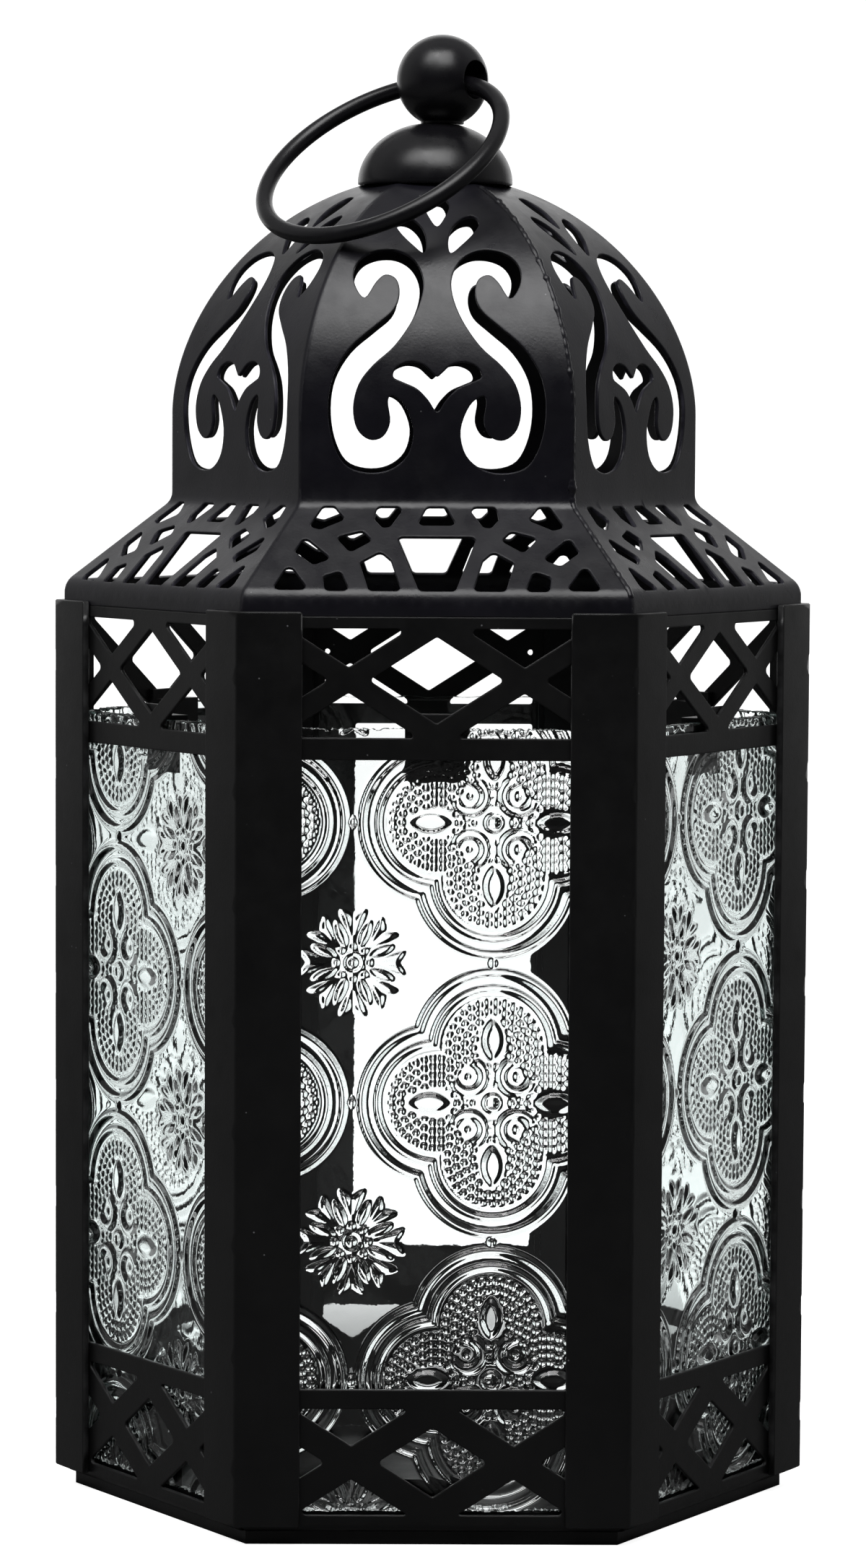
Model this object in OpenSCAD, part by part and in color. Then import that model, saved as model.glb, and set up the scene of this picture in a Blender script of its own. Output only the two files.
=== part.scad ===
// Hexagonal metal lantern with a lattice skirt, an onion-shaped scrollwork roof, pressed glass panes,
// a hinged rear door and a carrying ring. Millimetres, +Z up, origin at the centre of the base.
// Corners of the hexagon lie on +X and -X, so the faces point along +Y, -Y and 30 degrees off X.

/* [Body] */
// Width over the corner posts, corner to corner
body_w = 140; // [136:1:146]
// Height at which the wall panels end and the roof begins
wall_top = 164.6; // [160:0.1:168]
// Thickness of the wall and roof sheet
sheet_t = 0.8; // [0.6:0.1:1]
// Height of the recessed pan under the walls
wall_bottom = 2.4; // [2:0.1:3]
// Width of each flange of a corner post
post_flange = 11.5; // [10:0.5:12.5]
// Thickness of the corner posts
post_t = 1.4; // [1:0.1:1.6]

/* [Window and lattice] */
// Underside of the rail above the window
window_top = 139.5; // [136:0.5:141]
// Top of the rail under the window
window_bottom = 28.1; // [26:0.1:30]
// Width of the straps in the upper lattice
upper_strap = 3.8; // [3:0.1:4.5]
// Width of the straps in the lower lattice
lower_strap = 5; // [4:0.1:5.5]

/* [Glass] */
// Width of a pane
pane_w = 60; // [58:0.5:61]
// Thickness of a pane
pane_t = 3; // [2.5:0.1:3.2]
// Height of the top edge of the panes
pane_top = 145; // [143.5:0.1:145]

/* [Roof] */
// Corner radius of the dome at its base
dome_r = 48.5; // [47:0.1:50]
// Height at which the dome starts to curve in
dome_z = 200; // [198:0.5:202]
// Height of the curved part of the dome, up to its point
dome_h = 43.6; // [42:0.1:45]

/* [Finial and ring] */
// Radius of the ball
ball_r = 8.4; // [8:0.1:9]
// Height of the centre of the ball
ball_z = 260.7; // [260:0.1:262]
// Thickness of the ring's wire
wire_d = 3.1; // [2.8:0.1:3.3]
// Radius of the ring, at the middle of its wire
ring_r = 23.2; // [22.5:0.1:24]

/* [Door] */
// Half the width of the door
door_half = 23.1; // [22.9:0.1:23.1]
// Height of the door's lower edge
door_bottom = 4.6; // [4.5:0.1:5]
// Height of the door's upper edge
door_top = 161.6; // [161:0.1:161.8]

/* [Hidden] */
$fn = 64;

// Six faces: their outward directions, with the door's face last
FACES = [150, 210, 270, 330, 30, 90];
COS30 = cos(30);
TAN30 = tan(30);
touch = 0.02;
black = [0.09, 0.09, 0.1];
black_roof = [0.12, 0.12, 0.13];

// Distances from the axis to a face's middle
post_out = body_w / 2 * COS30;
wall_out = post_out - post_t - touch;
wall_in = wall_out - sheet_t;
glass_out = wall_in - 0.2;
glass_in = glass_out - pane_t;
pan_out = glass_out - 1;
pan_in = pan_out - sheet_t;
pane_bottom = 6;

// Eave, skirt and dome in terms of the corner radius
eave_r = wall_out / COS30;
skirt_top_z = dome_z - 16.1;
eave_z = wall_top + 4;
skirt_angle = atan2(skirt_top_z - eave_z, (eave_r - dome_r) * COS30);
dome_end = 75;

// Finial
cap_r = 14.3;
cap_z = 241.6;
cap_top = 252.8;
cap_wall = 1.2;
finial_x = 1.2;
stud_r = 2.45;
nut_z = 246.7;
bore_r = 3.4;
bore_dir = -38;
ring_tilt = 38.5;
ring_lift = -0.05;
ring_drop = 0.35;

// Door
hinge_x = -(door_half + 0.3);
knuckle_r = 1.5;
pin_r = 0.8;
hinge_y = post_out + knuckle_r;
hinge_z = [32, 132];
leaf_out = post_out;
leaf_in = leaf_out - sheet_t;
stile = 2.8;
door_window_left = -14.3;
door_window_bottom = 36.5;
door_pane_out = leaf_in - 0.2;
door_pane_half = door_half - 1.6;
button_x = 26.5;
button_z = 95;
button_y = post_out + 0.25;
knob_x = 18.4;
knob_z = 75;

// ---------- curves ----------

function sum_to(v, i) = i < 0 ? 0 : v[i] + sum_to(v, i - 1);

// Point on a smooth curve between b and c
function spline(a, b, c, d, t) =
  0.5 * (2 * b + (c - a) * t + (2 * a - 5 * b + 4 * c - d) * t * t + (3 * b - a - 3 * c + d) * t * t * t);

// Closed smooth outline through the given knots
function smooth_loop(k, steps) = let (n = len(k)) [
  for (i = [0:n - 1], j = [0:steps - 1])
    spline(k[(i + n - 1) % n], k[i], k[(i + 1) % n], k[(i + 2) % n], j / steps)
];

// Arc that rounds the corner at b between a and c
function fold(a, b, c, r, steps) = let (
  u = (a - b) / norm(a - b), v = (c - b) / norm(c - b),
  half = acos(u * v) / 2,
  m = b + (u + v) / norm(u + v) * r / sin(half),
  s = b + u * r / tan(half) - m,
  e = b + v * r / tan(half) - m,
  sweep = 180 - 2 * half
) [for (i = [0:steps]) m + (s * sin(sweep * (1 - i / steps)) + e * sin(sweep * i / steps)) / sin(sweep)];

// Line offset by t to the left of its travel, point by point
function beside(p, t) = [
  for (i = [0:len(p) - 1]) let (
    a = i > 0 ? (p[i] - p[i - 1]) / norm(p[i] - p[i - 1]) : (p[1] - p[0]) / norm(p[1] - p[0]),
    b = i < len(p) - 1 ? (p[i + 1] - p[i]) / norm(p[i + 1] - p[i]) : a,
    na = [-a[1], a[0]], nb = [-b[1], b[0]]
  ) p[i] + (na + nb) * t / (1 + na * nb)
];

function reverse(v) = [for (i = [len(v) - 1:-1:0]) v[i]];
function mirror_x(v) = [for (p = v) [-p[0], p[1]]];

// ---------- roof profile: corner radius and height, from the flange up to the crown ----------

function dome_point(a) = [dome_r * cos(a), dome_z + dome_h * pow(sin(a), 1 / 0.9)];

skirt_corner = [eave_r, eave_z];
waist = [dome_r, skirt_top_z];
roof_corner = concat(
  [[eave_r, wall_top]],
  fold([eave_r, wall_top], skirt_corner, waist, 3.8, 4),
  fold(skirt_corner, waist, [dome_r, dome_z], 3, 3),
  [for (a = [0:6.25:dome_end]) dome_point(a)]
);
// The same profile in the middle of a face
roof_face = [for (p = roof_corner) [p[0] * COS30, p[1]]];
roof_steps = [for (i = [1:len(roof_face) - 1]) norm(roof_face[i] - roof_face[i - 1])];
roof_s = [for (i = [0:len(roof_face) - 1]) sum_to(roof_steps, i - 1)];
// Length along the sheet of the profile up to the foot of the dome, from which scrollwork is measured
dome_foot_s = lookup(dome_z - 14, [for (i = [0:10]) [roof_face[i][1], roof_s[i]]]);

function out_at(s) = lookup(s, [for (i = [0:len(roof_s) - 1]) [roof_s[i], roof_face[i][0]]]);
function up_at(s) = lookup(s, [for (i = [0:len(roof_s) - 1]) [roof_s[i], roof_face[i][1]]]);

// ---------- openings, x along the face and y up the flat sheet ----------

scroll_knots = [
  [12.9, 35.5], [14.6, 38], [14.8, 41.5], [13.2, 44.4], [10.4, 45.9], [7.2, 45.9], [4.4, 44], [2.7, 40.4],
  [2.7, 36.2], [4.4, 31.2], [7.6, 26.2], [11.4, 22.6], [13.9, 19.2], [14.9, 15], [14.2, 11.2], [12, 9.3],
  [9.6, 9.8], [8.3, 12.4], [8.7, 16], [8, 17.1], [5.8, 15.4], [4.2, 11], [5.2, 6.6], [8.4, 4], [12.6, 3.5],
  [16.4, 5], [18.6, 9.4], [19.3, 15], [18.4, 20.6], [15.4, 25.8], [11, 29.9], [7.8, 33], [6.7, 36.4],
  [7.3, 39.4], [9.2, 40.4], [10.9, 38.8]
];
heart_knots = [
  [0, 14.3], [1.6, 16.4], [3.6, 18.4], [6.2, 19.6], [7.8, 20.5], [7.2, 22.2], [5, 23.2], [2.6, 22.8],
  [0.9, 21.3], [0, 20.6]
];
crown_petal_knots = [
  [0, 52.2], [1.5, 55.2], [2.2, 58.6], [1.4, 61.4], [0, 62], [-1.4, 61.4], [-2.2, 58.6], [-1.5, 55.2]
];
side_petal_knots = [
  [2.4, 45.4], [4.4, 47.4], [6.4, 50.2], [7.5, 53], [6.6, 55.2], [4.6, 54.6], [2.7, 51.8], [2, 48.4]
];
// Lattice of the skirt, right of the face's middle, measured up the slope from the eave's sharp edge
skirt_holes = [
  [[9.9, 11.2], [13.6, 8.3], [12, 1.1], [6.2, 1.1], [8.1, 9]],
  [[16.9, 6.2], [20, 4.8], [19.7, 1.1], [15.3, 1.1]],
  [[26, 8.1], [29, 1.3], [22.4, 1.3]],
  [[13.1, 16.5], [17.9, 14.8], [15.3, 10.8], [11.3, 14]],
  [[23.4, 15], [25.1, 11], [21.7, 7.6], [18.5, 9.3]],
  [[5.6, 22.6], [10.6, 22.6], [11, 19.4], [9.6, 17.2], [8.2, 17.5]],
  [[20.2, 22.6], [22.6, 17.5], [20.6, 16.7], [16.1, 19.4], [18, 22.6]]
];
skirt_middle_holes = [
  [[-7.1, 15], [7.1, 15], [3.2, 1.1], [-3.2, 1.1]],
  [[-1.8, 22.6], [1.8, 22.6], [3.6, 17.9], [-3.6, 17.9]]
];

// Rounds the corners of a hole inward and outward
module rounded(r) {
  offset(r = r, $fn = 16) offset(delta = -r) children();
}

module skirt_hole_shape() {
  rounded(0.7) {
    for (h = skirt_holes) {
      polygon(h);
      polygon(mirror_x(h));
    }
    for (h = skirt_middle_holes) polygon(h);
  }
}

// Scrolls and heart as seen straight on, so the knots' second value becomes a height
function seen_front(k, steps) = [for (p = smooth_loop(k, steps)) [p[0], up_at(p[1] + dome_foot_s)]];
// Petals as seen from above, so it becomes a distance from the axis
function seen_above(k, steps) = [for (p = smooth_loop(k, steps)) [p[0], out_at(p[1] + dome_foot_s)]];

module scroll_shape() {
  polygon(seen_front(scroll_knots, 3));
  polygon(mirror_x(seen_front(scroll_knots, 3)));
  polygon(seen_front(concat(heart_knots, reverse(mirror_x([for (i = [1:8]) heart_knots[i]]))), 3));
}

module petal_shape() {
  polygon(seen_above(crown_petal_knots, 3));
  polygon(seen_above(side_petal_knots, 3));
  polygon(mirror_x(seen_above(side_petal_knots, 3)));
}

// Crossed straps: cross_x and cross_z place a crossing, rise is the slope of the straps
module strap(cross_x, cross_z, rise, w) {
  translate([cross_x, cross_z]) rotate(atan(rise)) square([120, w], center = true);
}

module lattice_holes(half, low, high, cross_x, cross_z, rise, w) {
  rounded(0.6) difference() {
    translate([-half, low]) square([2 * half, high - low]);
    for (side = [-1, 1], slope = [-rise, rise]) strap(side * cross_x, cross_z, slope, w);
    children();
  }
}

module upper_lattice(half) {
  lattice_holes(half, window_top + 3.9, wall_top - 2.1, 15.4, wall_top - 11.1, 0.639, upper_strap)
    translate([-4.2, window_top]) square([8.4, 7]);
}

module lower_lattice(half) {
  lattice_holes(half, 5.6, window_bottom - 3.5, 14.4, 15, 0.64, lower_strap);
}

// All the openings of a wall, half is half the width they may take
module wall_holes(half) {
  upper_lattice(half);
  lower_lattice(half);
  translate([-half, window_bottom]) square([2 * half, window_top - window_bottom]);
}

// ---------- building blocks ----------

// Turns a piece made on the +Y face to the face that points along a
module on_face(a) {
  rotate([0, 0, a - 90]) children();
}

// Wedge that a face's pieces stay in, so that they meet their neighbours in a mitre
module sector(z0, z1) {
  translate([0, 0, z0]) linear_extrude(z1 - z0) polygon([[0, 0], [100 * TAN30, 100], [-100 * TAN30, 100]]);
}

// Sheet bent to a line of [distance from axis, height], as wide as the face
module bent_sheet(line, t) {
  intersection() {
    rotate([90, 0, 90]) translate([0, 0, -50]) linear_extrude(100) polygon(concat(line, reverse(beside(line, t))));
    sector(-1, 300);
  }
}

// Extrudes a shape drawn in x and z straight through the +Y face
module through_face(from, to) {
  translate([0, to, 0]) rotate([90, 0, 0]) linear_extrude(to - from) children();
}

// ---------- base, posts, walls ----------

module hexagon(apothem) {
  rotate(0) circle(r = apothem / COS30, $fn = 6);
}

module base_pan() {
  color(black) {
    difference() {
      linear_extrude(pane_bottom) hexagon(pan_out);
      translate([0, 0, sheet_t]) linear_extrude(pane_bottom) hexagon(pan_in);
    }
    for (a = FACES) on_face(a) translate([-6, glass_in - 1.2, 0.4]) cube([12, 0.8, 11]);
  }
}

module corner_post(n) {
  outer = body_w / 2;
  inner = outer - post_t / COS30;
  color(black) rotate([0, 0, 60 * n]) translate([0, 0, 3.5]) linear_extrude(161.9) polygon([
    [outer, 0],
    [outer - post_flange / 2, post_flange * COS30],
    [outer - post_flange / 2 - post_t * COS30, post_flange * COS30 - post_t / 2],
    [inner, 0],
    [outer - post_flange / 2 - post_t * COS30, -post_flange * COS30 + post_t / 2],
    [outer - post_flange / 2, -post_flange * COS30]
  ]);
}

// Line of a wall sheet from its in-turned lower edge up to height top
function wall_line(top) = concat(
  [[pan_out + touch, wall_bottom]],
  fold([pan_out, wall_bottom], [wall_out, wall_bottom], [wall_out, top], 1.6, 4),
  [[wall_out, top]]
);

module wall_panel(n) {
  color(black) on_face(FACES[n - 1]) difference() {
    bent_sheet(wall_line(wall_top), sheet_t);
    through_face(wall_in - 0.5, wall_out + 1) wall_holes(30.2);
  }
}

module door_sill() {
  color(black) on_face(90) bent_sheet(wall_line(door_bottom - 0.4), sheet_t);
}

module door_header() {
  z = door_top + 0.4;
  color(black) on_face(90) bent_sheet([[wall_out, z], [wall_out, wall_top]], sheet_t);
}

// ---------- glass ----------

module glass_pane(n) {
  color([0.8, 0.9, 0.88, 0.35]) on_face(FACES[n - 1])
    translate([-pane_w / 2, glass_in, pane_bottom]) cube([pane_w, pane_t, pane_top - pane_bottom]);
}

// Strips bent over the top edge of each fixed pane
module glass_clips() {
  w = 11;
  t = 0.8;
  z = pane_top + touch;
  color(black) for (n = [0:4]) on_face(FACES[n]) translate([-w / 2, 0, 0]) {
    translate([0, glass_in - t - touch, z]) cube([w, wall_in - glass_in + t + touch, t]);
    translate([0, glass_in - t - touch, z - 9.6]) cube([w, t, 10]);
    translate([0, wall_in - t, z]) cube([w, t, 2.6]);
  }
}

// ---------- roof ----------

module roof_panel(n) {
  color(black_roof) on_face(FACES[n - 1]) difference() {
    bent_sheet(roof_face, sheet_t);
    through_face(24, wall_out) scroll_shape();
    translate([0, 0, 215]) linear_extrude(40) petal_shape();
    translate([0, eave_r * COS30, eave_z]) rotate([180 - skirt_angle, 0, 0])
      translate([0, 0, -3]) linear_extrude(6) skirt_hole_shape();
  }
}

// Weld beads down two opposite corners of the roof
module roof_weld_beads() {
  line = [for (p = roof_corner) if (p[1] > wall_top + 3 && p[0] > 14) p];
  color(black_roof) for (a = [120, 300]) rotate([90, 0, a])
    linear_extrude(1.2, center = true) polygon(concat(beside(line, -0.3), reverse(beside(line, 0.5))));
}

// ---------- finial ----------

module dome_cap() {
  h = cap_top - cap_z + 0.4;
  outer = [for (a = [0:7.5:90]) [cap_r * cos(a), cap_z + h * sin(a)]];
  inner = [for (a = [90:-7.5:0]) [(cap_r - cap_wall) * cos(a), cap_z + (h - cap_wall) * sin(a)]];
  color(black) difference() {
    rotate_extrude() polygon(concat(outer, inner));
    translate([0, 0, cap_top]) cylinder(h = 5, r = 10);
    translate([finial_x, 0, cap_top - 5]) cylinder(h = 8, r = stud_r + 0.05);
  }
}

module cap_weld_beads() {
  color(black) for (a = [0:60:300]) rotate([0, 0, a])
    translate([cap_r + 0.2, 0, cap_z - 0.3]) sphere(r = 1.1, $fn = 24);
}

module clamp_washer() {
  color(black) translate([finial_x, 0, nut_z + 2.8]) difference() {
    cylinder(h = 1, r = 5.4);
    translate([0, 0, -1]) cylinder(h = 4, r = stud_r + 0.05);
  }
}

module clamp_nut() {
  color("silver") translate([finial_x, 0, nut_z]) difference() {
    cylinder(h = 2.78, r = 4.6, $fn = 6);
    translate([0, 0, -1]) cylinder(h = 6, r = stud_r + 0.02);
  }
}

module finial_stud() {
  color("silver") translate([finial_x, 0, nut_z - 1]) cylinder(h = ball_z - bore_r - 0.6 - nut_z + 1, r = stud_r);
}

module finial_ball() {
  color(black) translate([finial_x, 0, 0]) difference() {
    union() {
      intersection() {
        translate([0, 0, ball_z]) sphere(r = ball_r);
        translate([-20, -20, cap_top + touch]) cube([40, 40, 30]);
      }
      translate([0, 0, cap_top + touch]) cylinder(h = 2.2, r = 4);
    }
    translate([0, 0, ball_z]) rotate([0, 90, bore_dir]) translate([0, 0, -15]) cylinder(h = 30, r = bore_r);
    translate([0, 0, cap_top - 1]) cylinder(h = ball_z - bore_r - 0.5 - cap_top + 1, r = stud_r + 0.02);
  }
}

module carry_ring() {
  color(black) translate([finial_x, 0, ball_z]) rotate([0, 0, bore_dir]) rotate([ring_tilt, 0, 0])
    translate([0, ring_lift - ring_r, -ring_drop]) rotate_extrude($fn = 96) translate([ring_r, 0]) circle(d = wire_d, $fn = 32);
}

// ---------- door ----------

// Strips beside the doorway that close the gaps between the posts and the door
module door_jambs() {
  z = door_bottom - 0.4 + touch;
  color(black) for (side = [-1, 1])
    translate([side * 25.8 - 3.2, wall_in, z]) cube([6.4, sheet_t, door_top + 0.4 - touch - z]);
}

module door_leaf() {
  color(black) difference() {
    translate([-door_half, leaf_in, door_bottom]) cube([2 * door_half, sheet_t - touch, door_top - door_bottom]);
    through_face(leaf_in - 1, leaf_out + 1) intersection() {
      union() {
        upper_lattice(door_half - stile);
        lower_lattice(door_half - stile);
        translate([door_window_left, door_window_bottom])
          square([door_half - stile - door_window_left, window_top - door_window_bottom]);
      }
      translate([-door_half, door_bottom + 2.6]) square([2 * door_half, door_top - door_bottom - 5]);
    }
  }
}

module door_glass() {
  color([0.8, 0.9, 0.88, 0.35]) translate([-door_pane_half, door_pane_out - pane_t, pane_bottom + 2])
    cube([2 * door_pane_half, pane_t, pane_top - pane_bottom - 2]);
}

// Tabs on the door's stiles that hold its pane, and a shelf under it
module door_clips() {
  t = 0.7;
  reach = door_pane_out - pane_t - touch;
  color(black) {
    for (side = [-1, 1], z = [22, 122]) translate([0, 0, z]) {
      translate([side * (door_pane_half + touch + t / 2) - t / 2, reach - t, 0]) cube([t, leaf_in - reach + t, 8]);
      translate([side * (door_pane_half - 0.4) - 1, reach - t, 0]) cube([2, t, 8]);
    }
    translate([-5, reach, pane_bottom + 2 - t - touch]) cube([10, leaf_in - reach, t]);
  }
}

module door_knob() {
  color(black) translate([knob_x, leaf_out - touch, knob_z]) rotate([-90, 0, 0]) {
    cylinder(h = 4, r = 1.3);
    translate([0, 0, 5.6]) sphere(r = 2.8);
  }
}

// One half of a hinge: a knuckle and the plate that fixes it, on the side given
module hinge_leaf(side, z) {
  difference() {
    union() {
      translate([hinge_x, hinge_y, z]) cylinder(h = 5, r = knuckle_r);
      translate([side > 0 ? hinge_x : hinge_x - 6.5, post_out, z]) cube([6.5, 0.7, 5]);
    }
    translate([hinge_x, hinge_y, z - 1]) cylinder(h = 7, r = pin_r + (side > 0 ? 0.05 : 0.01));
  }
}

module hinge_post_leaves() {
  color(black) for (z = hinge_z) hinge_leaf(-1, z - 5.3);
}

module hinge_door_leaves() {
  color(black) for (z = hinge_z) hinge_leaf(1, z);
}

module hinge_pins() {
  color("silver") for (z = hinge_z) translate([hinge_x, hinge_y, z - 5.8]) {
    cylinder(h = 11.8, r = pin_r);
    translate([0, 0, 11.2]) cylinder(h = 0.8, r = 1.3);
  }
}

module button_stud() {
  color("silver") translate([button_x, post_out, button_z]) rotate([-90, 0, 0]) {
    cylinder(h = 1.8, r = 1.2);
    translate([0, 0, 1.35]) cylinder(h = 0.8, r = 2.2);
  }
}

module turn_button() {
  color(black) translate([button_x, button_y, button_z]) rotate([-90, 0, 0]) difference() {
    union() {
      translate([-2.4, -4.8, 0]) cube([4.8, 9.6, 0.8]);
      for (end = [-4.8, 4.8]) translate([0, end, 0]) cylinder(h = 0.8, r = 2.4);
    }
    translate([0, 0, -1]) cylinder(h = 3, r = 1.25);
  }
}

// ---------- nodes ----------

base_pan();
for (n = [1:6]) corner_post(n);
for (n = [1:5]) wall_panel(n);
for (n = [1:5]) glass_pane(n);
glass_clips();
for (n = [1:6]) roof_panel(n);
roof_weld_beads();
dome_cap();
cap_weld_beads();
clamp_washer();
clamp_nut();
finial_stud();
finial_ball();
carry_ring();
door_header();
door_sill();
door_jambs();
door_leaf();
door_glass();
door_clips();
door_knob();
hinge_post_leaves();
hinge_door_leaves();
hinge_pins();
button_stud();
turn_button();
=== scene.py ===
"""Looks of the hexagonal metal lantern: satin black powder coat, pressed glass, plain studio."""
import math

import bmesh
import bpy
import numpy as np
from mathutils import Matrix, Vector
from mathutils.geometry import delaunay_2d_cdt


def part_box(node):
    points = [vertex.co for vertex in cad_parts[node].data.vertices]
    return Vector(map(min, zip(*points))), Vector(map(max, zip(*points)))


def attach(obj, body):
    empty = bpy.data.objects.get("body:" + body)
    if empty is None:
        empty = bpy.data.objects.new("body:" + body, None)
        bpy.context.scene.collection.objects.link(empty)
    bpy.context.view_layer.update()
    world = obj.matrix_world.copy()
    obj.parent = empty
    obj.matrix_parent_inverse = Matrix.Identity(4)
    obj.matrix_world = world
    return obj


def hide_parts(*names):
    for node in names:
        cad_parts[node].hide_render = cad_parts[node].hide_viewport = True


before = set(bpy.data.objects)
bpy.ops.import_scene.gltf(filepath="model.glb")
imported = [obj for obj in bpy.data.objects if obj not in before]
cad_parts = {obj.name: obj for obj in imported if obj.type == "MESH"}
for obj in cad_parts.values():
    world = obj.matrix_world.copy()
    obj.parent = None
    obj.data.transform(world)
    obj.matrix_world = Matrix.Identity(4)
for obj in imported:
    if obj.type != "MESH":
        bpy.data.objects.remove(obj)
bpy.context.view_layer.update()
rng = np.random.default_rng(7)

MM = 0.001
COS30 = math.cos(math.radians(30))
TAN30 = math.tan(math.radians(30))
FACES = [150, 210, 270, 330, 30, 90]


def box_mm(node):
    """A node's lowest and highest corners in millimetres."""
    low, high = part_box(node)
    return np.array(low) / MM, np.array(high) / MM


# ---------- sizes, from the frame ----------

POST_LOW, POST_HIGH = box_mm("corner_post_3")
POST_R = -POST_LOW[0]
PANEL_LOW, PANEL_HIGH = box_mm("wall_panel_3")
WALL_OUT = -PANEL_LOW[1]
WALL_LOW = PANEL_LOW[2]
WALL_TOP = PANEL_HIGH[2]
SHEET = 0.8
POST_T = 1.4
POST_FLANGE = 11.5
PANE_LOW, PANE_HIGH = box_mm("glass_pane_3")
GLASS_OUT, GLASS_IN = -PANE_LOW[1], -PANE_HIGH[1]
LEAF_LOW, LEAF_HIGH = box_mm("door_leaf")
DOOR_PANE_LOW, DOOR_PANE_HIGH = box_mm("door_glass")
BALL_LOW = box_mm("finial_ball")[0]
CAP_LOW, CAP_HIGH = box_mm("dome_cap")

DOME_R, DOME_Z, DOME_H = 48.5, 200.0, 43.6
EAVE_R, EAVE_Z, WAIST_Z = WALL_OUT / COS30, WALL_TOP + 4, DOME_Z - 16.1
CORNER_ROUND = 1.3
BALL_R, FINIAL_X, BALL_Z = 8.4, 1.2, 260.7
BORE_R, BORE_TURN = 3.4, math.radians(-38)
WIRE_R, RING_R, RING_TILT, RING_LIFT, RING_DROP = 1.55, 23.2, math.radians(38.5), -0.05, 0.35
NECK_R = 3.98

WINDOW_HALF, WINDOW_TOP, WINDOW_BOTTOM = 30.2, 139.5, 28.1
DOOR_STILE = 2.8
DOOR_WINDOW = (-14.3, 36.5)
WALL_LATTICE_LOW, DOOR_LATTICE_LOW = 5.6, 7.2


# ---------- curves ----------

def smooth_loop(knots, steps):
    """Closed Catmull-Rom outline through the knots."""
    k = np.asarray(knots, float)
    a, b, c, d = np.roll(k, 1, 0), k, np.roll(k, -1, 0), np.roll(k, -2, 0)
    parts = []
    for t in np.arange(steps) / steps:
        parts.append(0.5 * (2 * b + (c - a) * t + (2 * a - 5 * b + 4 * c - d) * t**2
                            + (3 * b - a - 3 * c + d) * t**3))
    return np.stack(parts, 1).reshape(-1, 2)


def fold(a, b, c, radius, steps):
    """Arc that rounds the corner at b between a and c."""
    a, b, c = (np.asarray(p, float) for p in (a, b, c))
    u, v = (a - b) / np.linalg.norm(a - b), (c - b) / np.linalg.norm(c - b)
    half = math.acos(np.clip(u @ v, -1, 1)) / 2
    middle = b + (u + v) / np.linalg.norm(u + v) * radius / math.sin(half)
    s, e = b + u * radius / math.tan(half) - middle, b + v * radius / math.tan(half) - middle
    sweep = math.pi - 2 * half
    t = np.linspace(0, 1, steps + 1)[:, None]
    return middle + (s * np.sin(sweep * (1 - t)) + e * np.sin(sweep * t)) / math.sin(sweep)


def round_corners(points, radius, steps=4):
    """Polygon with each corner rounded, by less where its sides are short."""
    p = np.asarray(points, float)
    n, out = len(p), []
    for i in range(n):
        a, b, c = p[i - 1], p[i], p[(i + 1) % n]
        u, v = (a - b) / np.linalg.norm(a - b), (c - b) / np.linalg.norm(c - b)
        half = math.acos(np.clip(u @ v, -1, 1)) / 2
        room = 0.45 * min(np.linalg.norm(a - b), np.linalg.norm(c - b)) * math.tan(half)
        out.append(fold(a, b, c, min(radius, room), steps))
    return np.concatenate(out)


def resample(loop, step):
    """Closed outline with no side longer than step."""
    out = []
    for a, b in zip(loop, np.roll(loop, -1, 0)):
        n = max(1, int(np.ceil(np.linalg.norm(b - a) / step)))
        out.append(a + (b - a) * (np.arange(n) / n)[:, None])
    return np.concatenate(out)


def area(loop):
    x, y = loop[:, 0], loop[:, 1]
    return 0.5 * np.sum(x * np.roll(y, -1) - y * np.roll(x, -1))


def mirrored(loop):
    return np.asarray(loop, float)[::-1] * [-1, 1]


def inside(points, loop):
    """Which points lie in the outline, by counting crossings."""
    x, y = points[:, 0][:, None], points[:, 1][:, None]
    a, b = loop, np.roll(loop, -1, 0)
    cross = (a[:, 1] > y) != (b[:, 1] > y)
    with np.errstate(divide="ignore", invalid="ignore"):
        at = (b[:, 0] - a[:, 0]) * (y - a[:, 1]) / (b[:, 1] - a[:, 1]) + a[:, 0]
    return np.sum(cross & (x < at), 1) % 2 == 1


def side_normals(loop):
    """Unit directions pointing out of a counter-clockwise outline at its points."""
    t = np.roll(loop, -1, 0) - loop
    t /= np.linalg.norm(t, axis=1)[:, None]
    n = np.stack([t[:, 1], -t[:, 0]], 1)
    m = n + np.roll(n, 1, 0)
    return m / np.maximum(np.linalg.norm(m, axis=1), 1e-9)[:, None]


# ---------- mesh building ----------

def make_object(name, verts, faces, material, normals=None, rim=None):
    """A mesh object in metres from vertices in millimetres."""
    mesh = bpy.data.meshes.new(name)
    mesh.from_pydata((np.asarray(verts) * MM).tolist(), [], faces)
    mesh.shade_smooth()
    if rim is not None:
        mesh.attributes.new("rim", "FLOAT", "POINT").data.foreach_set("value", np.asarray(rim, np.float32))
    mesh.validate()
    if normals is not None:
        mesh.normals_split_custom_set_from_vertices(np.asarray(normals).tolist())
    mesh.materials.append(material)
    ob = bpy.data.objects.new(name, mesh)
    bpy.context.scene.collection.objects.link(ob)
    return ob


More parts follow.
